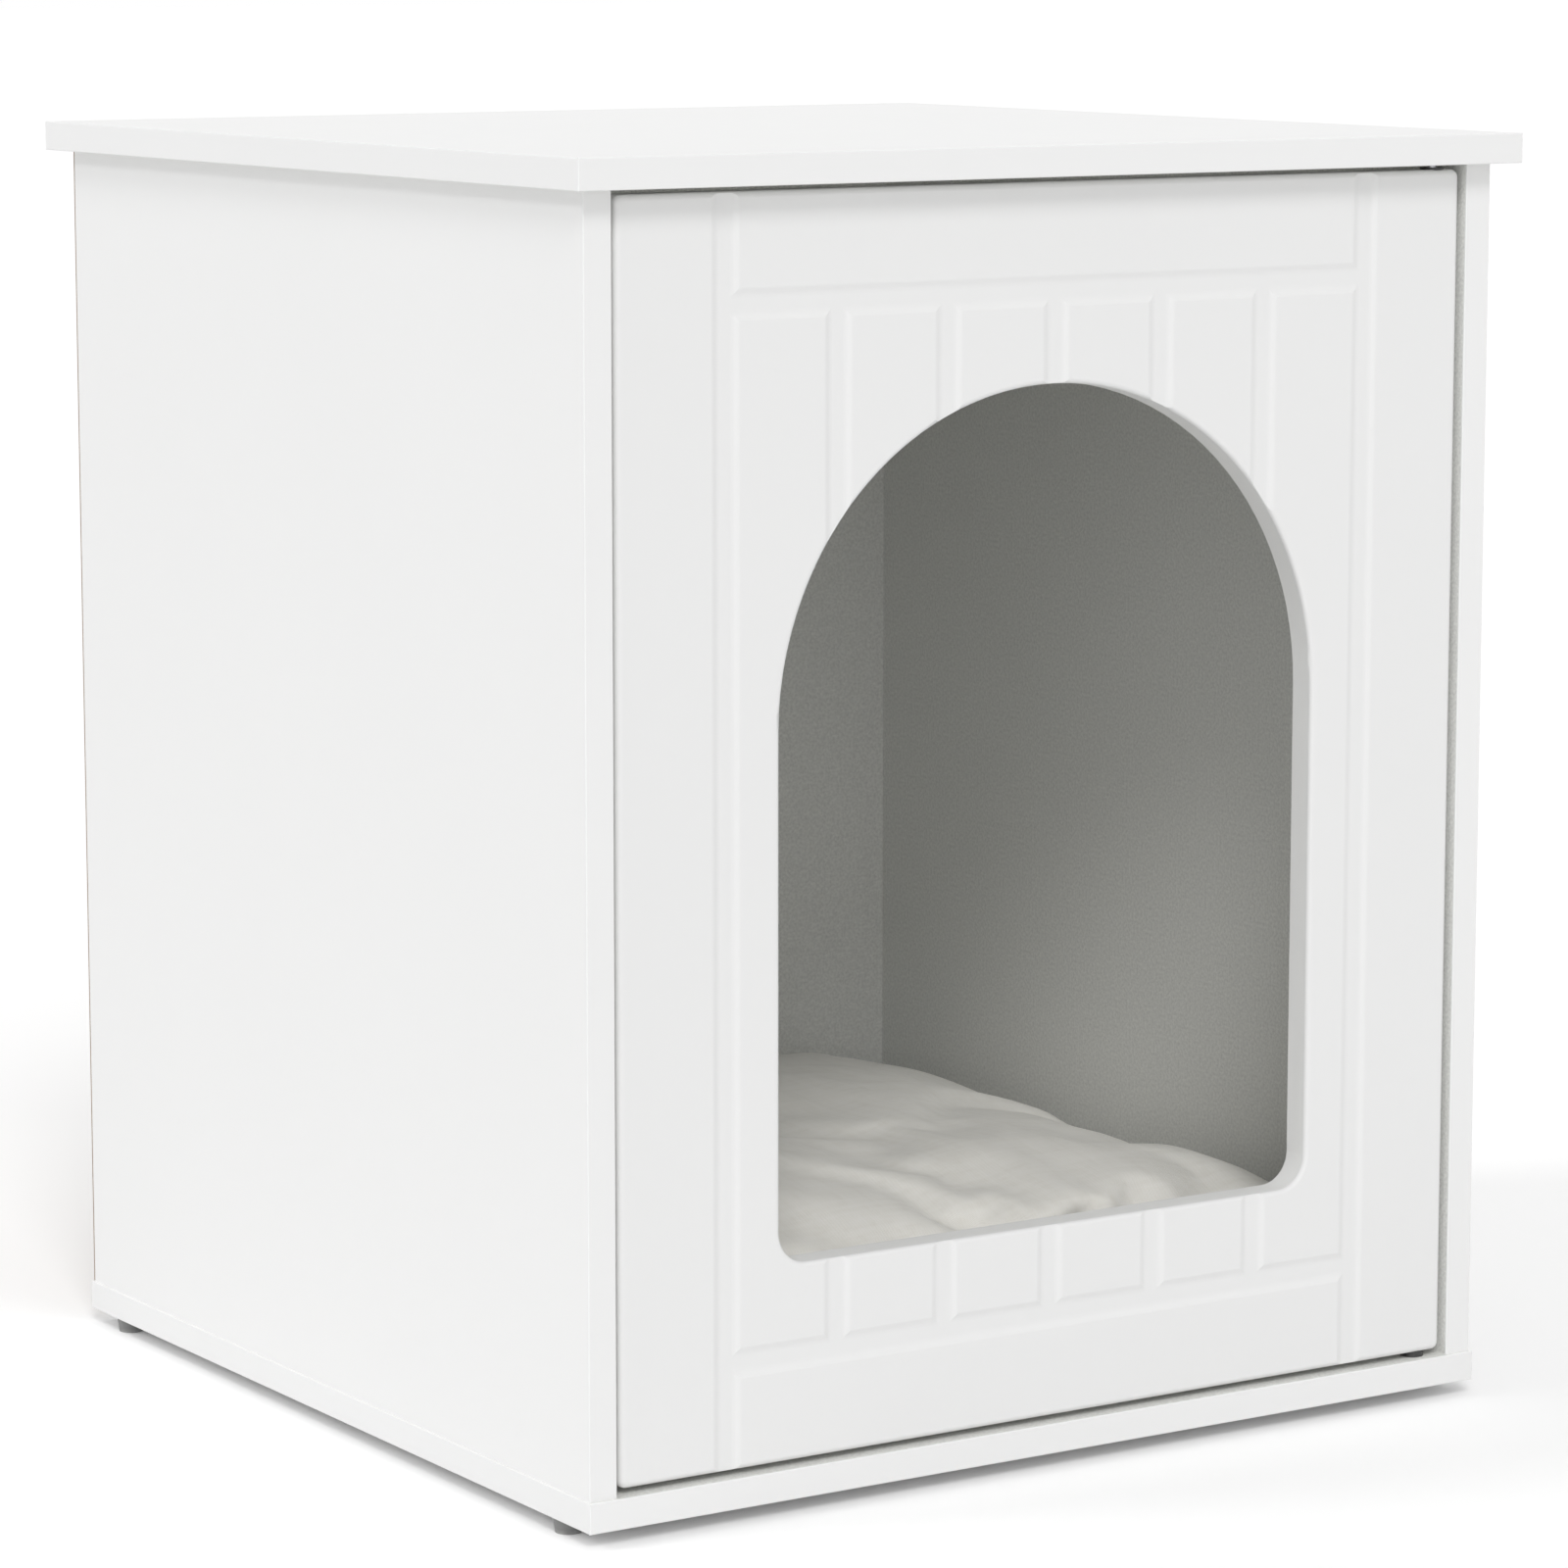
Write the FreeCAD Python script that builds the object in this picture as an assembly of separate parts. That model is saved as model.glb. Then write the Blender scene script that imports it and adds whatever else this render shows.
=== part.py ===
"""Cat house: a white board cabinet on four glides. Its front is a grooved door with an arched doorway.
The door swings on pins near its right-hand edge and shuts on a magnetic catch. A loose cushion lies on
the cabin floor.

Millimetres. X runs to the right, Y to the back and Z up. The origin is on the floor under the middle of
the top.
"""
import FreeCAD, Part
import math
import os

os.makedirs("parts", exist_ok=True)

# Cabinet boards
board = 15.0                    # thickness of the faced boards
hardboard = 3.0                 # thickness of the back
cabinet_width = 530.0           # over the outer faces of the two sides
side_depth = 523.0              # front edge to rear edge, edge strip included
side_height = 612.0
top_overhang_side = 10.0        # top past the outer faces of the sides
top_overhang_front = 13.0       # top past the front edges of the sides
top_overhang_back = 11.0        # top past the back
bottom_lip_side = 1.0           # bottom past the outer faces of the sides
bottom_lip_front = 2.0          # bottom past the front edges of the sides
back_margin = 1.0               # back short of the outer faces of the sides
edging = 1.0                    # thickness of the edge strips
edging_round = 0.6              # rounding along the outer edges of the strips

# Glides
glide_height = 8.0
glide_radius = 7.5
glide_taper = 1.0               # radius lost towards the floor
glide_inset_side = 8.5          # glide centre in from the outer face of the side
glide_inset_front = 34.0        # glide centre in from the front edge of the side
glide_inset_rear = 26.0         # glide centre in from the rear edge of the side
glide_recess_radius = 4.6
glide_recess_depth = 4.5
glide_screw_grip = 10.0         # length of screw in the bottom panel

# Door
door_thickness = 15.0
door_gap = 3.0                  # all round, to the sides, top and bottom
door_recess = 2.0               # front face behind the front edges of the sides
door_corner_radius = 4.0
door_edge_round = 3.0
doorway_width = 315.0
doorway_sill = 96.5             # sill above the lower edge of the door
doorway_head = 96.5             # crown of the arch below the upper edge of the door
doorway_corner_radius = 16.0
doorway_edge_round = 2.5

# Grooves routed in the door's face
plank_width = 62.5              # spacing of the upright grooves
plank_count = 6
rail_height = 52.0              # middle of a level groove in from the door's upper or lower edge
groove_width = 17.0             # over its rounded edges
groove_floor = 6.0              # flat floor
groove_depth = 1.2
groove_lip = 0.05               # rounded edges start this far before the face, to meet it at an angle

# Door pivots
pivot_inset = 12.0              # axis in from the door's right-hand edge
pin_radius = 2.5
pin_running_clearance = 0.05    # radial, pin to panel bush and to washer
sleeve_radius = 4.0
sleeve_depth = 20.0             # sleeve in the door's edge
bush_radius = 4.5
bush_depth = 10.0               # bush in the panel
flange_radius = 6.0
flange_thickness = 1.0
pin_end_gap = 1.0               # pin short of the bottom of its bush
pin_chamfer = 0.5

# Cam fittings and dowels between the sides and the top and bottom
fitting_inset = 62.0            # cam bolts in from the front and rear edges of the sides
dowel_offset = 64.0             # dowels behind or before their cam bolts
cam_setback = 34.0              # cam centre in from the end of the side
cam_radius = 7.5
cam_depth = 12.0
cam_slot_width = 1.6
cam_slot_reach = 4.5            # arm of the cross from the middle of the cam
cam_slot_depth = 1.6
cam_head_clearance = 0.4        # bolt head to the channel in the cam
bolt_thread_radius = 3.0
bolt_thread_depth = 11.0        # bolt in the panel
bolt_shank_radius = 3.5
bolt_hole_radius = 4.0
bolt_neck_radius = 2.2
bolt_neck_length = 4.0
bolt_head_length = 4.0
cap_radius = 9.5
cap_thickness = 1.0
cap_peg_radius = 1.9
cap_peg_length = 1.4
cap_peg_clearance = 0.1
dowel_radius = 4.0
dowel_length = 30.0
dowel_panel_depth = 10.0        # dowel in the panel
dowel_chamfer = 1.0
dowel_end_play = 1.0

# Nails of the back
nail_radius = 0.8
nail_grip = 17.0                # nail in the side
nail_head_radius = 2.0
nail_head_thickness = 0.8
nail_end_margin = 36.0          # first and last nail from the ends of the side
nails_per_side = 7

# Wood screws with countersunk heads
screw_shank_radius = 1.5
screw_head_radius = 3.2
screw_tip_radius = 0.4
screw_tip_length = 3.0
screw_slot_width = 0.9
screw_slot_reach = 1.9          # arm of the cross from the middle of the head
screw_slot_depth = 1.2

# Magnetic catch on the left side
catch_top_drop = 30.0           # top of the catch below the top of the side
catch_length = 46.0
catch_width = 22.0
catch_depth = 16.0
catch_round = 2.0
catch_gap = 0.3                 # magnet to strike plate with the door shut
catch_screw_spacing = 36.0
catch_screw_grip = 9.0
magnet_length = 24.0
magnet_width = 12.0
magnet_depth = 8.0
magnet_stand = 0.5              # magnet proud of its housing
strike_length = 38.0
strike_width = 13.0
strike_thickness = 1.5
strike_corner_radius = 3.0
strike_screw_grip = 9.0

# Cushion
cushion_side_gap = 14.0         # corners to the sides of the cabin
cushion_front_gap = 26.0        # corners to the door
cushion_back_gap = 14.0         # corners to the back
cushion_height = 108.0
cushion_seam_height = 46.0      # widest level, where its two faces are sewn
cushion_corner_radius = 46.0
cushion_draw_in = 13.0          # middle of a side inside the line of its corners
cushion_base_inset = 36.0       # base inside the seam
cushion_crown_power = 2.4       # fullness of the upper face
cushion_base_levels = 3
cushion_crown_levels = 8
cushion_last_turn = 78.0        # degrees of the crown's curve, from the seam to its flat top

# Places that follow
inner_half = cabinet_width / 2 - board
bottom_top = glide_height + board
side_top = bottom_top + side_height
top_depth = top_overhang_front + side_depth + hardboard + top_overhang_back
top_half_width = cabinet_width / 2 + top_overhang_side
side_front = top_overhang_front - top_depth / 2
side_back = side_front + side_depth
back_rear = side_back + hardboard
bottom_half_width = cabinet_width / 2 + bottom_lip_side
bottom_front = side_front - bottom_lip_front
door_front = side_front + door_recess
door_back = door_front + door_thickness
door_half_width = inner_half - door_gap
door_bottom = bottom_top + door_gap
door_top = side_top - door_gap
sill = door_bottom + doorway_sill
crown = door_top - doorway_head
pivot_x = door_half_width - pivot_inset
pivot_y = door_front + door_thickness / 2
strike_back = door_back + strike_thickness
cushion_width = 2 * (inner_half - cushion_side_gap)
cushion_front = door_back + cushion_front_gap
cushion_back = side_back - cushion_back_gap
cushion_depth = cushion_back - cushion_front

right = FreeCAD.Vector(1, 0, 0)
rearward = FreeCAD.Vector(0, 1, 0)
upward = FreeCAD.Vector(0, 0, 1)
left_and_right = {"left": -1, "right": 1}
coincidence = 1e-6              # coordinates this close are the same


def point(x, y, z):
    return FreeCAD.Vector(x, y, z)


def block(low, high):
    """Box between two opposite corners."""
    size = [abs(b - a) for a, b in zip(low, high)]
    corner = [min(a, b) for a, b in zip(low, high)]
    return Part.makeBox(*size, point(*corner))


def rod(start, direction, length, radius):
    return Part.makeCylinder(radius, length, start, direction)


def fused(solids):
    return solids[0].multiFuse(solids[1:]).removeSplitter()


def slab(outline, y_from, y_to):
    """Outline in the XZ plane, made into a plate between two depths."""
    face = Part.Face(outline)
    face.translate(rearward * y_from)
    return face.extrude(rearward * (y_to - y_from))


def same(a, b):
    return abs(a - b) < coincidence


def edges_at(solid, test, samples=5):
    """Edges on which each of a few points passes the test."""
    return [edge for edge in solid.Edges if all(test(p) for p in edge.discretize(samples))]


def edges_along(solid, direction):
    """Straight edges that run in a direction."""
    found = []
    for edge in solid.Edges:
        if same(edge.tangentAt(edge.FirstParameter).cross(direction).Length, 0):
            found.append(edge)
    return found


def export(name, solids):
    """Write one node: a single solid, or a group of separate ones."""
    shape = solids[0] if len(solids) == 1 else Part.makeCompound(solids)
    volume = sum(solid.Volume for solid in shape.Solids)
    print(f"{name}: {len(shape.Solids)} solid(s), {volume / 1000:.2f} cm3, valid {shape.isValid()}")
    shape.exportStep(f"parts/{name}.step")


def cross_slot(face, direction, width, reach, depth):
    """Cross for a screwdriver, sunk along a direction."""
    half = width / 2
    level = block((-reach, -half, 0), (reach, half, depth))
    upright = block((-half, -reach, 0), (half, reach, depth))
    cross = fused([level, upright])
    cross.Placement = FreeCAD.Placement(face, FreeCAD.Rotation(upward, direction))
    return cross


# Countersunk wood screw, driven along a direction from the middle of its head's flat face
def screw_room(head, direction, length):
    """Hole that the screw cuts for itself."""
    taper = screw_head_radius - screw_shank_radius
    shank_length = length - taper - screw_tip_length
    cone = Part.makeCone(screw_head_radius, screw_shank_radius, taper, head, direction)
    shank = rod(head + direction * taper, direction, shank_length, screw_shank_radius)
    tip_start = head + direction * (taper + shank_length)
    tip = Part.makeCone(screw_shank_radius, screw_tip_radius, screw_tip_length, tip_start, direction)
    return fused([cone, shank, tip])


def wood_screw(head, direction, length):
    slot = cross_slot(head, direction, screw_slot_width, screw_slot_reach, screw_slot_depth)
    return screw_room(head, direction, length).cut(slot)


# Edge strips: front and rear strips run the full width, and the others fit between them
def edge_strips(half_width, front, rear, low, high):
    strips = []
    for y, inward in ((front, edging), (rear, -edging)):
        strip = block((-half_width, y, low), (half_width, y + inward, high))
        outer = edges_at(strip, lambda p: same(p.y, y))
        strips.append(strip.makeFillet(edging_round, outer))
    for x, inward in ((-half_width, edging), (half_width, -edging)):
        strip = block((x, front + edging, low), (x + inward, rear - edging, high))
        long_outer = edges_at(strip, lambda p: same(p.x, x) and (same(p.z, low) or same(p.z, high)))
        strips.append(strip.makeFillet(edging_round, long_outer))
    return strips


# Holes are collected for each board, and cut when its fittings are known
top_holes = []
bottom_holes = []
side_holes = {"left": [], "right": []}
door_holes = []

# Cam bolts, cams, caps and dowels at the two ends of each side
cam_bolts = []
cam_locks = []
cam_caps = []
dowels = []


def cam_bolt(start, direction):
    """Bolt from the bottom of its hole in the panel to its head in the cam."""
    shank_length = cam_setback + bolt_head_length / 2 - bolt_head_length - bolt_neck_length
    runs = (
        (bolt_thread_radius, bolt_thread_depth),
        (bolt_shank_radius, shank_length),
        (bolt_neck_radius, bolt_neck_length),
        (bolt_shank_radius, bolt_head_length),
    )
    pieces = []
    for radius, length in runs:
        pieces.append(rod(start, direction, length, radius))
        start = start + direction * length
    return fused(pieces)


def cam_lock(face, outward, to_panel):
    """Cam whose open face lies in the inner face of the side, with a channel towards the panel."""
    body = rod(face, outward, cam_depth, cam_radius)
    bolt_axis = face + outward * (board / 2)
    head_room = bolt_shank_radius + cam_head_clearance
    channel_start = bolt_axis - to_panel * (bolt_head_length / 2 + cam_head_clearance)
    channel = rod(channel_start, to_panel, 2 * cam_radius, head_room)
    drive = cross_slot(face, outward, cam_slot_width, cam_slot_reach, cam_slot_depth)
    socket = rod(face, outward, cam_slot_depth, cap_peg_radius + cap_peg_clearance)
    return body.cut([channel, drive, socket])


def dowel(start, direction):
    body = rod(start, direction, dowel_length, dowel_radius)
    rims = [edge for edge in body.Edges if edge.Closed]
    return body.makeChamfer(dowel_chamfer, rims)


fitting_rows = (side_front + fitting_inset, side_back - fitting_inset)
dowel_rows = (fitting_rows[0] + dowel_offset, fitting_rows[1] - dowel_offset)
board_joints = ((side_top, upward, top_holes), (bottom_top, -upward, bottom_holes))
side_dowel_hole = dowel_length - dowel_panel_depth + dowel_end_play
for name, sign in left_and_right.items():
    outward = right * sign
    inner_face = inner_half * sign
    middle = sign * (inner_half + board / 2)
    for plane, to_panel, panel_holes in board_joints:
        for y in fitting_rows:
            joint = point(middle, y, plane)
            cam_face = point(inner_face, y, plane) - to_panel * cam_setback
            cam_bolts.append(cam_bolt(joint + to_panel * bolt_thread_depth, -to_panel))
            cam_locks.append(cam_lock(cam_face, outward, to_panel))
            cap = rod(cam_face, -outward, cap_thickness, cap_radius)
            peg = rod(cam_face, outward, cap_peg_length, cap_peg_radius)
            cam_caps.append(fused([cap, peg]))
            panel_holes.append(rod(joint, to_panel, bolt_thread_depth, bolt_thread_radius))
            side_holes[name].append(rod(joint, -to_panel, cam_setback, bolt_hole_radius))
            side_holes[name].append(rod(cam_face, outward, cam_depth, cam_radius))
        for y in dowel_rows:
            joint = point(middle, y, plane)
            dowels.append(dowel(joint + to_panel * dowel_panel_depth, -to_panel))
            panel_holes.append(rod(joint, to_panel, dowel_panel_depth + dowel_end_play, dowel_radius))
            side_holes[name].append(rod(joint, -to_panel, side_dowel_hole, dowel_radius))

export("cam_bolts", cam_bolts)
export("cam_locks", cam_locks)
export("cam_caps", cam_caps)
export("wooden_dowels", dowels)

# Back panel and its nails, driven through it into the rear edges of the sides
nails = []
nail_holes = []
nail_span = side_height - 2 * nail_end_margin
for name, sign in left_and_right.items():
    x = sign * (inner_half + board / 2)
    for step in range(nails_per_side):
        z = bottom_top + nail_end_margin + nail_span * step / (nails_per_side - 1)
        head_seat = point(x, back_rear, z)
        shank = rod(head_seat, -rearward, hardboard + nail_grip, nail_radius)
        head = rod(head_seat, rearward, nail_head_thickness, nail_head_radius)
        nails.append(fused([shank, head]))
        nail_holes.append(shank)
        side_holes[name].append(shank)

back_half_width = cabinet_width / 2 - back_margin
back_low = (-back_half_width, side_back, bottom_top)
back_high = (back_half_width, back_rear, side_top)
export("back_panel", [block(back_low, back_high).cut(nail_holes)])
export("back_panel_nails", nails)

# Glides under the sides, each held by a screw up into the bottom panel
glide_screws = []
for row, y in (("front", side_front + glide_inset_front), ("rear", side_back - glide_inset_rear)):
    for name, sign in left_and_right.items():
        foot = point(sign * (cabinet_width / 2 - glide_inset_side), y, 0)
        body = Part.makeCone(glide_radius - glide_taper, glide_radius, glide_height, foot, upward)
        recess = rod(foot, upward, glide_recess_depth, glide_recess_radius)
        head = foot + upward * glide_recess_depth
        length = glide_height - glide_recess_depth + glide_screw_grip
        glide_screws.append(wood_screw(head, upward, length))
        hole = screw_room(head, upward, length)
        bottom_holes.append(hole)
        export(f"glide_{row}_{name}", [body.cut([recess, hole])])
export("glide_screws", glide_screws)

# Door pivots: a pin pressed into a sleeve in the door's edge turns in a bush in the panel
bore_radius = pin_radius + pin_running_clearance


def flanged_tube(seat, into, depth, radius, bore):
    """Tube sunk along a direction, with its flange on the face that it is sunk into."""
    tube = rod(seat, into, depth, radius)
    flange = rod(seat, -into, flange_thickness, flange_radius)
    hole = rod(seat - into * flange_thickness, into, depth + flange_thickness, bore)
    return fused([tube, flange]).cut(hole)


for level, plane, door_edge, to_panel, panel_holes in (
    ("upper", side_top, door_top, upward, top_holes),
    ("lower", bottom_top, door_bottom, -upward, bottom_holes),
):
    panel_seat = point(pivot_x, pivot_y, plane)
    door_seat = point(pivot_x, pivot_y, door_edge)
    bush = flanged_tube(panel_seat, to_panel, bush_depth, bush_radius, bore_radius)
    export(f"{level}_panel_bush", [bush])
    sleeve = flanged_tube(door_seat, -to_panel, sleeve_depth, sleeve_radius, pin_radius)
    export(f"{level}_door_sleeve", [sleeve])
    pin_length = sleeve_depth + door_gap + bush_depth - pin_end_gap
    pin = rod(door_seat - to_panel * sleeve_depth, to_panel, pin_length, pin_radius)
    pin_rims = [edge for edge in pin.Edges if edge.Closed]
    export(f"{level}_pivot_pin", [pin.makeChamfer(pin_chamfer, pin_rims)])
    panel_holes.append(rod(panel_seat, to_panel, bush_depth, bush_radius))
    door_holes.append(rod(door_seat, -to_panel, sleeve_depth, sleeve_radius))

washer_seat = point(pivot_x, pivot_y, bottom_top + flange_thickness)
washer_thickness = door_gap - 2 * flange_thickness
washer = rod(washer_seat, upward, washer_thickness, flange_radius)
washer_hole = rod(washer_seat, upward, washer_thickness, bore_radius)
export("thrust_washer", [washer.cut(washer_hole)])

# Magnetic catch on the left side, and its strike plate on the door's rear face
catch_front = strike_back + catch_gap + magnet_stand
catch_top = side_top - catch_top_drop
catch_middle = catch_top - catch_length / 2
catch_x = -inner_half + catch_width / 2
catch_low = (-inner_half, catch_front, catch_top - catch_length)
catch_high = (-inner_half + catch_width, catch_front + catch_depth, catch_top)
housing = block(catch_low, catch_high)
open_edges = edges_at(housing, lambda p: same(p.x, catch_high[0]))
housing = housing.makeFillet(catch_round, open_edges)
magnet_low = (catch_x - magnet_width / 2, catch_front - magnet_stand, catch_middle - magnet_length / 2)
magnet_high = (catch_x + magnet_width / 2, catch_front + magnet_depth, catch_middle + magnet_length / 2)
magnet = block(magnet_low, magnet_high)
catch_screws = []
catch_holes = []
for end in (-1, 1):
    head = point(catch_high[0], catch_front + catch_depth / 2, catch_middle + end * catch_screw_spacing / 2)
    catch_screws.append(wood_screw(head, -right, catch_width + catch_screw_grip))
    catch_holes.append(screw_room(head, -right, catch_width + catch_screw_grip))
side_holes["left"] += catch_holes
export("catch_housing", [housing.cut([magnet] + catch_holes)])
export("catch_magnet", [magnet])
export("catch_screws", catch_screws)

strike_low = (catch_x - strike_width / 2, door_back, catch_middle - strike_length / 2)
strike_high = (catch_x + strike_width / 2, strike_back, catch_middle + strike_length / 2)
strike = block(strike_low, strike_high)
strike = strike.makeFillet(strike_corner_radius, edges_along(strike, rearward))
strike_head = point(catch_x, strike_back, catch_middle)
strike_screw_length = strike_thickness + strike_screw_grip
strike_hole = screw_room(strike_head, -rearward, strike_screw_length)
door_holes.append(strike_hole)
export("strike_plate", [strike.cut(strike_hole)])
export("strike_screw", [wood_screw(strike_head, -rearward, strike_screw_length)])


# Door panel: a board with rounded corners and edges, an arched doorway and routed grooves
def arch_outline():
    """Doorway outline: a sill with rounded corners, upright jambs and a half-round head."""
    half = doorway_width / 2
    corner = doorway_corner_radius
    spring = crown - half
    nook = corner * (1 - math.sqrt(0.5))
    sill_left = point(-half + corner, 0, sill)
    sill_right = point(half - corner, 0, sill)
    jamb_left = point(-half, 0, sill + corner)
    jamb_right = point(half, 0, sill + corner)
    spring_left = point(-half, 0, spring)
    spring_right = point(half, 0, spring)
    crown_point = point(0, 0, crown)
    edges = (
        Part.LineSegment(sill_left, sill_right),
        Part.Arc(sill_right, point(half - nook, 0, sill + nook), jamb_right),
        Part.LineSegment(jamb_right, spring_right),
        Part.Arc(spring_right, crown_point, spring_left),
        Part.LineSegment(spring_left, jamb_left),
        Part.Arc(jamb_left, point(-half + nook, 0, sill + nook), sill_left),
    )
    return Part.Wire([edge.toShape() for edge in edges])


def groove(start, end):
    """Groove along the door's face, from one middle point to another. Each of its walls is two equal arcs,
    one that rounds the edge at the face and one that runs out level into the floor."""
    along = (end - start).normalize()
    across = along.cross(rearward)
    run = (groove_width - groove_floor) / 2
    rise = groove_depth + groove_lip
    radius = (run ** 2 + rise ** 2) / (4 * rise)
    turn = 2 * math.atan2(rise, run)

    def place(reach, depth):
        return start + across * reach + rearward * depth

    def wall(side):
        """Five points on one wall, from the face to the floor."""
        points = []
        for angle in (0, turn / 2, turn):
            reach = groove_width / 2 - radius * math.sin(angle)
            points.append((reach, radius * (1 - math.cos(angle)) - groove_lip))
        for reach, depth in reversed(points[:2]):
            points.append(((groove_width + groove_floor) / 2 - reach, groove_depth - groove_lip - depth))
        return [place(side * reach, depth) for reach, depth in points]

    near = wall(1)
    far = wall(-1)
    curves = (
        Part.LineSegment(far[0], near[0]),
        Part.Arc(*near[:3]),
        Part.Arc(*near[2:]),
        Part.LineSegment(near[-1], far[-1]),
        Part.Arc(*far[:1:-1]),
        Part.Arc(*far[2::-1]),
    )
    profile = Part.Face(Part.Wire([curve.toShape() for curve in curves]))
    return profile.extrude(end - start)


door = block((-door_half_width, door_front, door_bottom), (door_half_width, door_back, door_top))
door = door.makeFillet(door_corner_radius, edges_along(door, rearward))
door = door.makeFillet(door_edge_round, edges_at(door, lambda p: same(p.y, door_front)))
door = door.cut(slab(arch_outline(), door_front, door_back))


def on_doorway_front(p):
    between_jambs = abs(p.x) < doorway_width / 2 + coincidence
    sill_to_crown = sill - coincidence < p.z < crown + coincidence
    return between_jambs and sill_to_crown and same(p.y, door_front)


door = door.makeFillet(doorway_edge_round, edges_at(door, on_doorway_front))

field_half = plank_width * plank_count / 2
rail_low = door_bottom + rail_height
rail_high = door_top - rail_height
grooves = []
for z in (rail_low, rail_high):
    grooves.append(groove(point(-field_half, door_front, z), point(field_half, door_front, z)))
for step in range(plank_count + 1):
    x = -field_half + step * plank_width
    at_stile = step in (0, plank_count)
    low = door_bottom - door_edge_round if at_stile else rail_low
    high = door_top + door_edge_round if at_stile else rail_high
    grooves.append(groove(point(x, door_front, low), point(x, door_front, high)))
export("door_panel", [door.cut(grooves + door_holes)])

# Boards and their edge strips
top_high = side_top + board
top_front = -top_depth / 2
top_rear = top_depth / 2
top_low_corner = (edging - top_half_width, top_front + edging, side_top)
top_high_corner = (top_half_width - edging, top_rear - edging, top_high)
export("top_panel", [block(top_low_corner, top_high_corner).cut(top_holes)])
export("top_panel_edging", edge_strips(top_half_width, top_front, top_rear, side_top, top_high))

bottom_low_corner = (edging - bottom_half_width, bottom_front + edging, glide_height)
bottom_high_corner = (bottom_half_width - edging, back_rear - edging, bottom_top)
export("bottom_panel", [block(bottom_low_corner, bottom_high_corner).cut(bottom_holes)])
bottom_strips = edge_strips(bottom_half_width, bottom_front, back_rear, glide_height, bottom_top)
export("bottom_panel_edging", bottom_strips)

for name, sign in left_and_right.items():
    near = sign * inner_half
    far = sign * (inner_half + board)
    side = block((near, side_front + edging, bottom_top), (far, side_back, side_top))
    export(f"side_panel_{name}", [side.cut(side_holes[name])])
    strip = block((near, side_front, bottom_top), (far, side_front + edging, side_top))
    upright_outer = edges_at(strip, lambda p: same(p.y, side_front) and (same(p.x, near) or same(p.x, far)))
    export(f"side_edging_{name}", [strip.makeFillet(edging_round, upright_outer)])


# Cushion: two sewn faces, widest at the seam, with a full crown and sides drawn in between the corners
def cushion_outline(height, across, along):
    """Outline at a height above the floor, with its size as shares of the seam's width and depth."""
    half_w = across * cushion_width / 2
    half_d = along * cushion_depth / 2
    corner = min(across, along) * cushion_corner_radius
    draw = min(across, along) * cushion_draw_in
    nook = corner * (1 - math.sqrt(0.5))
    edges = []
    for quarter in range(4):
        reach, span = (half_w, half_d) if quarter % 2 == 0 else (half_d, half_w)
        side_from = point(reach, corner - span, 0)
        side_middle = point(reach - draw, 0, 0)
        side_to = point(reach, span - corner, 0)
        corner_middle = point(reach - nook, span - nook, 0)
        corner_to = point(reach - corner, span, 0)
        side = Part.Arc(side_from, side_middle, side_to)
        turn = Part.Arc(side_to, corner_middle, corner_to)
        for curve in (side, turn):
            edge = curve.toShape()
            edge.rotate(point(0, 0, 0), upward, 90 * quarter)
            edges.append(edge)
    outline = Part.Wire(edges)
    outline.translate(point(0, (cushion_front + cushion_back) / 2, bottom_top + height))
    return outline


def crown_curve(turn):
    """Share of the width kept, and share of the height reached, at a turn of the crown's curve."""
    power = 2 / cushion_crown_power
    return math.cos(turn) ** power, math.sin(turn) ** power


cushion_sections = []
for step in range(cushion_base_levels):
    height = cushion_seam_height * step / cushion_base_levels
    inset = cushion_base_inset * (1 - step / cushion_base_levels) ** 2
    across = 1 - 2 * inset / cushion_width
    along = 1 - 2 * inset / cushion_depth
    cushion_sections.append(cushion_outline(height, across, along))
for step in range(cushion_crown_levels + 1):
    kept, reached = crown_curve(math.radians(cushion_last_turn * step / cushion_crown_levels))
    height = cushion_seam_height + (cushion_height - cushion_seam_height) * reached
    cushion_sections.append(cushion_outline(height, kept, kept))
export("cushion", [Part.makeLoft(cushion_sections, True, True)])
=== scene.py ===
import math
import bpy
import numpy as np
from mathutils import Euler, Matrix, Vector, noise


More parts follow.
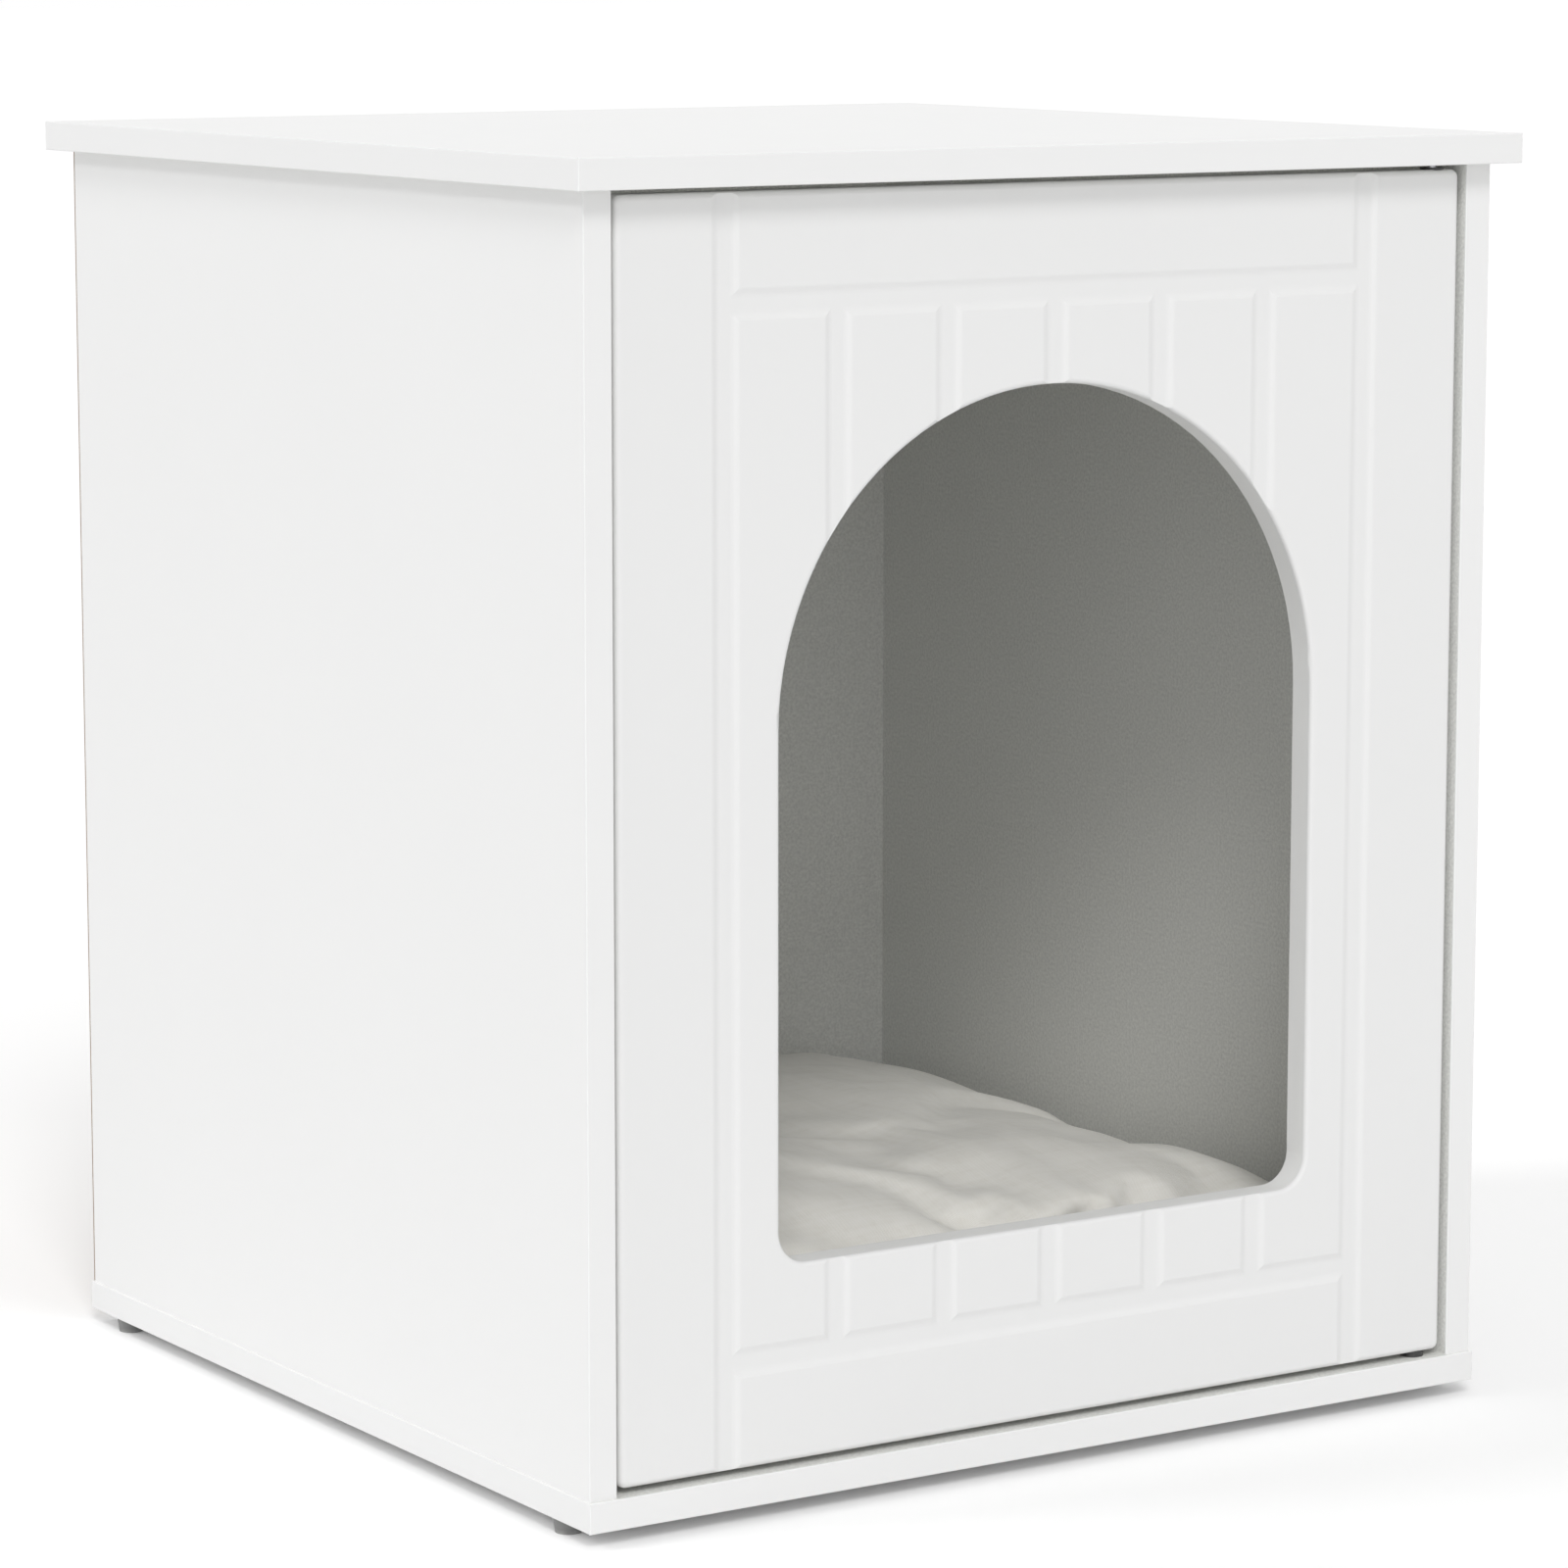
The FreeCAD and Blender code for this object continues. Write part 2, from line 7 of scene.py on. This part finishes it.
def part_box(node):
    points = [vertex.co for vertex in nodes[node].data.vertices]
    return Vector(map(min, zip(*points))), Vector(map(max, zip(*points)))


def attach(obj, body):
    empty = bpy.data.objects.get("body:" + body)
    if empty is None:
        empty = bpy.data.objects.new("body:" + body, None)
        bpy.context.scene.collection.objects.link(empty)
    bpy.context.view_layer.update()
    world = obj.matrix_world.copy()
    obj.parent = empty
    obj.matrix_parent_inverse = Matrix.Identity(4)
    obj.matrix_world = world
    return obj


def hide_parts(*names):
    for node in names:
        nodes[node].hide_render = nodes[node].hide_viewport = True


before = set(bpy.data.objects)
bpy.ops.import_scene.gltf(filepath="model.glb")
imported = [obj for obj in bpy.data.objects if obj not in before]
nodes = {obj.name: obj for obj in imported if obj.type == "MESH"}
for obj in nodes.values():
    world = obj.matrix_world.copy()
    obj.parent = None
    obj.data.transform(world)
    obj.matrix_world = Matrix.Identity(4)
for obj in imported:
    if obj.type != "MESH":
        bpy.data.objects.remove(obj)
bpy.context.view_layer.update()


# Bottom panel, two sides and top panel: 15 mm chipboard, filmed on both faces and sawn to size. The film is
# white with a fine pearl grain outside. Towards the cabin it has a coarser grain, and its colour is painted
# greyer there, as painted shade for the dim inside. Raw chips show only on sawn edges and in the drilled
# holes. The sides stand on the bottom panel and carry the top.
class Wire:
    """An output socket of a node tree. Arithmetic on it adds Math nodes."""

    def __init__(self, graph, socket):
        self.graph = graph
        self.socket = socket

    def maths(self, operation, *values):
        return self.graph.node("ShaderNodeMath", {"operation": operation}, dict(enumerate(values)))

    def __add__(self, other):
        return self.maths("ADD", self, other)

    def __sub__(self, other):
        return self.maths("SUBTRACT", self, other)

    def __rsub__(self, other):
        return self.maths("SUBTRACT", other, self)

    def __mul__(self, other):
        return self.maths("MULTIPLY", self, other)

    def __truediv__(self, other):
        return self.maths("DIVIDE", self, other)

    def __rtruediv__(self, other):
        return self.maths("DIVIDE", other, self)

    def __gt__(self, other):
        return self.maths("GREATER_THAN", self, other)

    def __lt__(self, other):
        return self.maths("LESS_THAN", self, other)

    def __abs__(self):
        return self.maths("ABSOLUTE", self)

    __radd__ = __add__
    __rmul__ = __mul__

    def sine(self):
        return self.maths("SINE", self)

    def either(self, other):
        return self.maths("MAXIMUM", self, other)

    def out(self, name):
        """Another output of the same node."""
        return Wire(self.graph, self.socket.node.outputs[name])


class Graph:
    """A node tree, to which each node is added by node()."""

    def __init__(self, tree):
        self.tree = tree

    def fill(self, socket, value):
        """Link a wire to a socket, or set its value."""
        if isinstance(value, Wire):
            self.tree.links.new(value.socket, socket)
        elif socket.type == "RGBA":
            socket.default_value = (*value[:3], 1)
        else:
            socket.default_value = value

    def node(self, kind, settings=(), sockets=()):
        """Add a node. Settings come first, because they decide which of its sockets are in use."""
        node = self.tree.nodes.new(kind)
        for name, value in dict(settings).items():
            if name == "stops":
                self.set_stops(node.color_ramp, value)
            else:
                setattr(node, name, value)
        in_use = [socket for socket in node.inputs if socket.enabled]
        for name, value in dict(sockets).items():
            socket = in_use[name] if isinstance(name, int) else next(s for s in in_use if s.name == name)
            self.fill(socket, value)
        return Wire(self, next(socket for socket in node.outputs if socket.enabled))

    def set_stops(self, ramp, stops):
        while len(ramp.elements) < len(stops):
            ramp.elements.new(0.5)
        for element, (position, colour) in zip(ramp.elements, stops):
            element.position = position
            element.color = (*colour, 1)

    def rays_to_background(self):
        """1 for rays from the camera and for those that metal or a gloss sends on, and 0 for the rest."""
        path = self.node("ShaderNodeLightPath")
        mirrored = path.out("Is Glossy Ray").either(path.out("Is Transmission Ray"))
        return path.out("Is Camera Ray").either(mirrored)


class Finish(Graph):
    """A material. Its shader takes each value by feed(), be it uniform or a wire that varies."""

    def __init__(self, name, **uniform):
        self.material = bpy.data.materials.new(name)
        self.material.use_nodes = True
        super().__init__(self.material.node_tree)
        self.shader = self.tree.nodes["Principled BSDF"]
        self.feed(**uniform)
        self.place = self.node("ShaderNodeTexCoord").out("Object")

    def feed(self, **values):
        """Fill sockets of the shader, whose names are written in small letters."""
        for name, value in values.items():
            socket = name.replace("_", " ").title().replace("Ior", "IOR")
            self.fill(self.shader.inputs[socket], value)

    def stretched(self, factors):
        """Place on the object, scaled along each axis."""
        return self.node("ShaderNodeVectorMath", {"operation": "MULTIPLY"}, {0: self.place, 1: factors})

    def noise(self, scale, detail=2.0, place=None):
        """Soft noise from 0 to 1. The scale is in cells to the metre."""
        values = {"Vector": place or self.place, "Scale": scale, "Detail": detail}
        return self.node("ShaderNodeTexNoise", {}, values)

    def cells(self, scale, place=None):
        """Flat-toned cells: each has one random value from 0 to 1."""
        values = {"Vector": place or self.place, "Scale": scale}
        colour = self.node("ShaderNodeTexVoronoi", {}, values).out("Color")
        return self.node("ShaderNodeSeparateColor", {}, {"Color": colour})

    def blend(self, factor, first, second):
        """Colour that goes from the first to the second as the factor goes from 0 to 1."""
        sockets = {"Factor": factor, "A": first, "B": second}
        return self.node("ShaderNodeMix", {"data_type": "RGBA"}, sockets)

    def ramp(self, factor, *stops):
        return self.node("ShaderNodeValToRGB", {"stops": stops}, {"Fac": factor})

    def bump(self, height, depth):
        """Normal of a relief, whose height from 0 to 1 stands for a depth in metres."""
        return self.node("ShaderNodeBump", {}, {"Height": height, "Distance": depth, "Strength": 1.0})

    def axis(self, name):
        """Place along X, Y or Z, in metres."""
        return self.node("ShaderNodeSeparateXYZ", {}, {"Vector": self.place}).out(name)

    def cover(self, *names):
        """Give this finish to CAD nodes."""
        for name in names:
            slots = nodes[name].data.materials
            slots.clear()
            slots.append(self.material)


white_film = (0.858, 0.858, 0.854)
# Painted shade: the cabin film is a greyer copy of the white film, darkened for the dim inside of the
# cabin.
cabin_film_painted_shade = (0.787, 0.791, 0.763)
film_thickness = 0.0003
cabin_grains_per_metre = 620
chips_per_metre = 420
chip_tones = ((0.0, (0.36, 0.25, 0.15)), (0.5, (0.55, 0.42, 0.27)), (1.0, (0.70, 0.58, 0.41)))


def shaded(colour, factor):
    return [channel * factor for channel in colour]


cabin_painted_shade_tones = (shaded(cabin_film_painted_shade, 0.74), shaded(cabin_film_painted_shade, 1.26))


def faced_board(name, axis, inward):
    """Film on the two faces across an axis, and bare chips between. Inward is 1 or -1 along the axis."""
    low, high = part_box(name)
    index = "XYZ".index(axis)
    middle = (low[index] + high[index]) / 2
    half = (high[index] - low[index]) / 2
    finish = Finish(f"{name}_faced_chipboard")
    to_cabin = (finish.axis(axis) - middle) * inward
    on_face = abs(to_cabin) > half - film_thickness
    chips = finish.ramp(finish.cells(chips_per_metre, finish.stretched((1.0, 0.45, 1.0))), *chip_tones)
    outer_film = finish.blend(finish.noise(5, 3), shaded(white_film, 0.988), shaded(white_film, 1.008))
    cabin_grain = finish.noise(cabin_grains_per_metre)
    # The inner film's grey tones are painted shade for the inside of the cabin.
    inner_film_painted_shade = finish.blend(cabin_grain, *cabin_painted_shade_tones)
    film = finish.blend(to_cabin > 0, outer_film, inner_film_painted_shade)
    finish.feed(base_color=finish.blend(on_face, chips, film))
    finish.feed(roughness=0.78 - on_face * (0.40 - 0.10 * finish.noise(60, 3)))
    pearl = finish.noise(1500)
    rough_chips = finish.cells(chips_per_metre) * 6
    finish.feed(normal=finish.bump(on_face * pearl + (1 - on_face) * rough_chips, 0.00003))
    finish.cover(name)


faced_board("bottom_panel", "Z", 1)
faced_board("side_panel_left", "X", 1)
faced_board("side_panel_right", "X", -1)
faced_board("top_panel", "Z", -1)

# Edge strips: white plastic tape, 1 mm thick, glued round the top and bottom panels and on the front edge
# of each side, then trimmed with a small radius. It is smoother than the film, and the trimmer has left
# faint marks along its length.
edge_strip = Finish("white_edge_strip")
trim_marks = edge_strip.noise(900, place=edge_strip.stretched((0.04, 0.04, 1.0)))
strip_cloud = edge_strip.noise(9)
edge_strip.feed(base_color=edge_strip.blend(strip_cloud, (0.836, 0.836, 0.833), (0.854, 0.854, 0.851)))
edge_strip.feed(roughness=0.30 + 0.12 * trim_marks)
edge_strip.feed(normal=edge_strip.bump(trim_marks, 0.00002))
edge_strip.cover("top_panel_edging", "bottom_panel_edging", "side_edging_left", "side_edging_right")

# Glides: four grey moulded feet under the corners, each held by a countersunk screw driven up through it.
# The moulding has a fine spark texture, and the floor has rubbed its lower rim pale.
glide_plastic = Finish("grey_glide_plastic", specular_ior_level=0.4)
spark = glide_plastic.noise(2600, 3)
glide_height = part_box("glide_front_left")[1].z
rubbed = glide_plastic.ramp(glide_plastic.axis("Z") / glide_height, (0.0, (1, 1, 1)), (0.3, (0, 0, 0)))
worn = rubbed * glide_plastic.noise(500, 3)
glide_grey = glide_plastic.blend(spark, (0.20, 0.20, 0.20), (0.27, 0.27, 0.265))
glide_plastic.feed(base_color=glide_plastic.blend(worn, glide_grey, (0.42, 0.42, 0.41)))
glide_plastic.feed(roughness=0.46 + 0.2 * spark)
glide_plastic.feed(normal=glide_plastic.bump(spark, 0.00006))
glide_plastic.cover("glide_front_left", "glide_front_right", "glide_rear_left", "glide_rear_right")


# Screws and nails: zinc plated steel. The plating is bright with a soft bluish bloom, and the driver has
# left the heads slightly scuffed.
def plated_steel(name, bright, dull, roughness, relief):
    """Metal with a cloudy surface, fine scratches and a small relief in metres."""
    finish = Finish(name, metallic=1.0)
    bloom = finish.noise(220, 4)
    scratches = finish.noise(1800, place=finish.stretched((1.0, 0.12, 1.0)))
    finish.feed(base_color=finish.blend(bloom, bright, dull))
    finish.feed(roughness=roughness - 0.10 + 0.2 * bloom + 0.08 * scratches)
    finish.feed(normal=finish.bump(scratches, relief))
    return finish


zinc_plating = plated_steel("zinc_plating", (0.70, 0.71, 0.73), (0.58, 0.59, 0.62), 0.34, 0.00001)
zinc_plating.cover("glide_screws", "cam_bolts", "back_panel_nails", "catch_screws")

# Corner joints: beech dowels place each side on the top and bottom panels, and die-cast cams in the sides'
# inner faces pull on steel bolts. Once tightened, each cam is hidden by a white push-in cap.
beech = Finish("bare_beech")
beech_rings = beech.noise(260, 3, beech.stretched((1.0, 1.0, 0.05)))
beech_flecks = beech.noise(1600, place=beech.stretched((1.0, 1.0, 0.12)))
beech.feed(base_color=beech.blend(beech_rings, (0.48, 0.29, 0.14), (0.66, 0.45, 0.25)))
beech.feed(roughness=0.55 + 0.2 * beech_flecks)
beech.feed(normal=beech.bump(beech_rings + beech_flecks, 0.00008))
beech.cover("wooden_dowels")

cast_zinc = plated_steel("die_cast_zinc", (0.55, 0.55, 0.56), (0.40, 0.40, 0.42), 0.50, 0.00004)
cast_zinc.cover("cam_locks")


def moulded(name, dark, light, roughness):
    """Moulded plastic with a fine texture."""
    finish = Finish(name)
    flow = finish.noise(35)
    texture = finish.noise(1900)
    finish.feed(base_color=finish.blend(flow, dark, light))
    finish.feed(roughness=roughness - 0.05 + 0.1 * texture)
    finish.feed(normal=finish.bump(texture, 0.00002))
    return finish


white_moulding = moulded("white_moulding", (0.80, 0.80, 0.79), (0.86, 0.86, 0.85), 0.38)
white_moulding.cover("cam_caps")

# Back panel: 3 mm hardboard, nailed through to the rear edges of the sides. Its inner face is lacquered
# white with a slight stipple, and its colour is painted greyer as painted shade for the dim cabin. The
# rear face is bare brown fibre with the print of the press's wire screen.
back = Finish("lacquered_hardboard")
lacquer_depth = 0.0004
screen_pitch = 0.0018
back_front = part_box("back_panel")[0].y
lacquered = back.axis("Y") < back_front + lacquer_depth
stipple = back.noise(700, 3)
# Painted shade: the lacquered inner face takes the cabin's greyer tones.
inner_lacquer_painted_shade = back.blend(back.noise(cabin_grains_per_metre), *cabin_painted_shade_tones)
pulp = back.noise(9, 4)
fibre_length = back.noise(520, 5, back.stretched((1.0, 1.0, 0.35)))
fibre_tones = ((0.25, (0.21, 0.125, 0.065)), (0.5, (0.28, 0.172, 0.095)), (0.8, (0.37, 0.24, 0.14)))
fibre = back.ramp(fibre_length, *fibre_tones)
screen_turn = 2 * math.pi / screen_pitch
weft = (back.axis("X") * screen_turn).sine()
warp = (back.axis("Z") * screen_turn).sine()
screen = (weft * warp + 1) / 2
bare_side = back.blend(screen * 0.3 + pulp * 0.25, fibre, (0.17, 0.10, 0.052))
back.feed(base_color=back.blend(lacquered, bare_side, inner_lacquer_painted_shade))
back.feed(roughness=0.80 - lacquered * (0.36 - 0.1 * stipple))
relief = lacquered * stipple * 0.25 + (1 - lacquered) * (screen + fibre_length)
back.feed(normal=back.bump(relief, 0.00012))
back.cover("back_panel")

# Cushion: two faces of pale linen sewn together along one seam and stuffed, loose on the cabin floor.
# The stuffing swells it, so its sides draw in between the corners and the cloth puckers along the seam.
cushion_low, cushion_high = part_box("cushion")
cushion_middle = (cushion_low + cushion_high) / 2
cushion_half = (cushion_high - cushion_low) / 2
seam_height = 0.046
seam_shrink = 0.03
seam_sharpness = 0.8
cut_allowance = 0.014
corner_share = 0.2
start_thickness = 0.02
slack_height = 0.0035
slack_folds = 4
fold_shift = 3.7
cells_across = 72
case_volume = 0.0135
swelling_frames = 44
fullness = 0.46
base_softness = 0.006


def cut_outline(u, v):
    """Place in the flat case of a point of the square from -1 to 1, with the case's corners rounded."""
    ring = max(abs(u), abs(v))
    if ring == 0:
        return 0.0, 0.0
    x, y = abs(u) / ring, abs(v) / ring
    straight = 1 - corner_share
    if x > straight and y > straight:
        reach = math.hypot(x - straight, y - straight)
        x = straight + (x - straight) * corner_share / reach
        y = straight + (y - straight) * corner_share / reach
    return math.copysign(x * ring, u), math.copysign(y * ring, v)


def flat_case():
    """The sewn case before it is stuffed: two thin faces that share the points of the seam."""
    points = []
    upper = {}
    lower = {}
    steps = range(cells_across + 1)
    for face, sign in ((upper, 1), (lower, -1)):
        for row in steps:
            for column in steps:
                on_seam = row in (0, cells_across) or column in (0, cells_across)
                if on_seam and sign < 0:
                    face[row, column] = upper[row, column]
                    continue
                u = 2 * column / cells_across - 1
                v = 2 * row / cells_across - 1
                x, y = cut_outline(u, v)
                rise = start_thickness / 2 * (1 - u ** 4) * (1 - v ** 4)
                fold = Vector((u * slack_folds, v * slack_folds, sign * fold_shift))
                slack = slack_height * noise.fractal(fold, 1.0, 2.0, 2)
                face[row, column] = len(points)
                points.append((
                    x * (cushion_half.x + cut_allowance),
                    y * (cushion_half.y + cut_allowance),
                    sign * rise + (0 if on_seam else slack),
                ))
    quads = []
    for row in range(cells_across):
        for column in range(cells_across):
            corners = ((row, column), (row, column + 1), (row + 1, column + 1), (row + 1, column))
            quads.append([upper[corner] for corner in corners])
            quads.append([lower[corner] for corner in reversed(corners)])
    mesh = bpy.data.meshes.new("cushion_case")
    mesh.from_pydata(points, [], quads)
    seam = {index for corner, index in upper.items() if lower[corner] == index}
    sharpness = mesh.attributes.new("crease_edge", "FLOAT", "EDGE")
    for edge in mesh.edges:
        if seam.issuperset(edge.vertices):
            sharpness.data[edge.index].value = seam_sharpness
    return mesh, sorted(seam)


def stuff(case, seam):
    """Swell the case by the push of its stuffing, gather it at the seam, and keep the swollen mesh."""
    case.vertex_groups.new(name="seam").add(seam, 1.0, "REPLACE")
    cloth = case.modifiers.new("stuffing", "CLOTH")
    fabric = cloth.settings
    fabric.quality = 6
    fabric.mass = 0.2
    fabric.air_damping = 4
    fabric.tension_stiffness = 40
    fabric.compression_stiffness = 40
    fabric.shear_stiffness = 20
    fabric.bending_stiffness = 0.5
    fabric.vertex_group_shrink = "seam"
    fabric.shrink_max = seam_shrink
    fabric.effector_weights.gravity = 0
    fabric.use_pressure = True
    fabric.use_pressure_volume = True
    fabric.target_volume = case_volume
    fabric.uniform_pressure_force = 0.2
    fabric.pressure_factor = 8
    cloth.point_cache.frame_end = swelling_frames
    scene = bpy.context.scene
    for step in range(1, swelling_frames + 1):
        scene.frame_set(step)
    swollen = case.evaluated_get(bpy.context.evaluated_depsgraph_get())
    case.data = bpy.data.meshes.new_from_object(swollen)
    case.modifiers.clear()
    scene.frame_set(1)


def settle(case):
    """Bring the swollen case to its size, and flatten its lower face where it lies on the floor."""
    places = np.zeros(len(case.data.vertices) * 3)
    case.data.vertices.foreach_get("co", places)
    places = places.reshape(-1, 3)
    for axis in (0, 1):
        places[:, axis] *= cushion_half[axis] / np.abs(places[:, axis]).max()
    crown = cushion_high.z - cushion_low.z - seam_height
    share = places[:, 2] / places[:, 2].max()
    raised = crown * np.maximum(share, 0) ** fullness
    sunk = np.exp(crown * np.minimum(share, 0) / base_softness) + math.exp(-seam_height / base_softness)
    height = np.where(share > 0, raised, base_softness * np.log(sunk))
    places[:, 0] += cushion_middle.x
    places[:, 1] += cushion_middle.y
    places[:, 2] = cushion_low.z + seam_height + np.maximum(height, -seam_height)
    case.data.vertices.foreach_set("co", places.ravel())
    case.data.update()


case_mesh, seam_points = flat_case()
cushion = bpy.data.objects.new("linen_cushion", case_mesh)
bpy.context.scene.collection.objects.link(cushion)
stuff(cushion, seam_points)
settle(cushion)
for polygon in cushion.data.polygons:
    polygon.use_smooth = True
finer = cushion.modifiers.new("finer", "SUBSURF")
finer.levels = 1
finer.render_levels = 1

linen = Finish("pale_linen", sheen_weight=0.25, sheen_roughness=0.5, specular_ior_level=0.2)
thread_pitch = 0.0009
thread_wander = 0.0012
thread_turn = 2 * math.pi / thread_pitch
wander = linen.noise(120) * thread_wander
along_x = (linen.axis("X") + wander) * thread_turn
along_y = (linen.axis("Y") + wander) * thread_turn
weave = (along_x.sine() * along_y.sine() + 1) / 2
slubs_x = linen.noise(240, 3, linen.stretched((0.06, 1.0, 1.0)))
slubs_y = linen.noise(240, 3, linen.stretched((1.0, 0.06, 1.0)))
threads = (slubs_x + slubs_y) / 2
thread_tones = ((0.30, (0.84, 0.82, 0.765)), (0.5, (0.89, 0.875, 0.825)), (0.72, (0.92, 0.905, 0.865)))
between_threads = (0.76, 0.735, 0.68)
linen.feed(base_color=linen.blend(weave * 0.2, linen.ramp(threads, *thread_tones), between_threads))
linen.feed(roughness=0.86 + 0.1 * threads)
linen.feed(normal=linen.bump(weave * 0.6 + threads, 0.00022))
cushion.data.materials.append(linen.material)
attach(cushion, "cabinet")
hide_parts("cushion")

# Door: a fibreboard panel with a plank pattern routed in its face and an arched doorway cut through it.
# A matt white foil is drawn over the face, the grooves and the rounded edges, and the rear is filmed white.
# The doorway's cut edge is lacquered white, and its colour is painted lighter than the foil as painted
# light from the front left, so it is the brightest white on the door.
foil = Finish("white_door_foil")
peel = foil.noise(170)
foil_grain = foil.noise(1700)
foil_cloud = foil.noise(4, 3)
door_low, door_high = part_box("door_panel")
doorway_half = 0.1576
doorway_sill = 0.1224
doorway_crown = 0.5356
doorway_rounding = 0.0024
door_x = foil.axis("X")
door_y = foil.axis("Y")
door_z = foil.axis("Z")
in_doorway = (abs(door_x) < doorway_half) * (door_z > doorway_sill) * (door_z < doorway_crown)
between_faces = (door_y > door_low.y + doorway_rounding) * (door_y < door_high.y - film_thickness)
foil_white = foil.blend(foil_cloud, (0.803, 0.803, 0.800), (0.819, 0.819, 0.816))
# Painted light: the doorway's cut edge is made lighter than the foil to stand in for light from the front
# left.
doorway_edge_painted_light = (0.94, 0.94, 0.93)
foil.feed(base_color=foil.blend(in_doorway * between_faces, foil_white, doorway_edge_painted_light))
foil.feed(roughness=0.42 + 0.10 * peel)
foil.feed(normal=foil.bump(peel * 0.8 + foil_grain, 0.00003))
foil.cover("door_panel")

# Pivots: near the door's right, a ground steel pin is pressed into a sleeve in its upper edge and another
# in its lower edge. Each turns in a flanged bush in the panel, and a washer under the door carries its
# weight. Sleeves, bushes and washer are black nylon.
ground_steel = plated_steel("ground_steel", (0.62, 0.62, 0.64), (0.52, 0.52, 0.54), 0.26, 0.00001)
ground_steel.cover("upper_pivot_pin", "lower_pivot_pin")
nylon = moulded("black_nylon", (0.030, 0.030, 0.031), (0.050, 0.050, 0.051), 0.42)
nylon.cover("upper_panel_bush", "lower_panel_bush", "upper_door_sleeve", "lower_door_sleeve")
nylon.cover("thrust_washer")

# Catch: a white moulded housing on the left side holds a ferrite magnet. The magnet draws the zinc plated
# strike plate on the door's rear face, which one screw holds.
ferrite = Finish("ferrite_magnet")
sinter = ferrite.noise(1400, 4)
ferrite.feed(base_color=ferrite.blend(sinter, (0.016, 0.016, 0.018), (0.045, 0.044, 0.046)))
ferrite.feed(roughness=0.45 + 0.25 * sinter)
ferrite.feed(normal=ferrite.bump(sinter, 0.00005))
ferrite.cover("catch_magnet")
white_moulding.cover("catch_housing")
zinc_plating.cover("strike_plate", "strike_screw")

# Setting: a pale floor under even white light. A key from the upper front and a lamp from the upper left
# cast the narrow shade under the top's edges, and two broad lamps lift the front and the top. The floor is
# pure white where it is seen, apart from the object's shadow.
floor_half = 40.0
floor_corners = [(x * floor_half, y * floor_half, 0) for x, y in ((-1, -1), (1, -1), (1, 1), (-1, 1))]
floor_mesh = bpy.data.meshes.new("floor")
floor_mesh.from_pydata(floor_corners, [], [(0, 1, 2, 3)])
floor = bpy.data.objects.new("floor", floor_mesh)
bpy.context.scene.collection.objects.link(floor)
floor_paint = Finish("pale_floor", roughness=0.9, specular_ior_level=0.0, emission_strength=1.0)
to_background = floor_paint.rays_to_background()
floor_tone = floor_paint.blend(floor_paint.noise(3), (0.87, 0.87, 0.87), (0.88, 0.88, 0.88))
floor_paint.feed(base_color=floor_paint.blend(to_background, floor_tone, (1.0, 1.0, 1.0)))
floor_paint.feed(emission_color=floor_paint.blend(to_background, (0.0, 0.0, 0.0), (0.06, 0.06, 0.06)))
floor_mesh.materials.append(floor_paint.material)


def lamp(name, towards, level, spread):
    """Distant lamp. A white face square to it gains the level, where 1 is full white."""
    light = bpy.data.lights.new(name, "SUN")
    light.energy = level * math.pi
    light.angle = math.radians(spread)
    holder = bpy.data.objects.new(name, light)
    holder.rotation_euler = Vector(towards).to_track_quat("Z", "Y").to_euler()
    bpy.context.scene.collection.objects.link(holder)


lamp("key", (-0.34, -0.66, 0.67), 0.365, 20)
lamp("front_fill", (-0.50, -0.86, 0.10), 0.17, 50)
lamp("left_fill", (-0.76, 0.25, 0.60), 0.18, 12)
lamp("top_fill", (0.0, 0.0, 1.0), 0.125, 70)

sky_level = 0.465
world = bpy.data.worlds.new("white_surround")
world.use_nodes = True
bpy.context.scene.world = world
sky = Graph(world.node_tree)
surround = sky.tree.nodes["Background"]
sky.fill(surround.inputs["Color"], (1.0, 1.0, 1.0))
sky.fill(surround.inputs["Strength"], sky_level + sky.rays_to_background() * (1 - sky_level))
bpy.context.scene.view_settings.view_transform = "Standard"

# Camera: at the photograph's place, a little above the top and to the left of the front. It looks down by
# a few degrees, through a long lens.
camera_data = bpy.data.cameras.new("camera")
camera_data.sensor_width = 36.0
camera_data.lens = 131.15
camera = bpy.data.objects.new("camera", camera_data)
camera.location = (-1.5948, -2.48856, 0.7584)
camera_tilt = math.radians(8.663)
camera_turn = math.radians(32.856)
camera.rotation_euler = Euler((math.pi / 2 - camera_tilt, 0, -camera_turn))
bpy.context.scene.collection.objects.link(camera)
bpy.context.scene.camera = camera
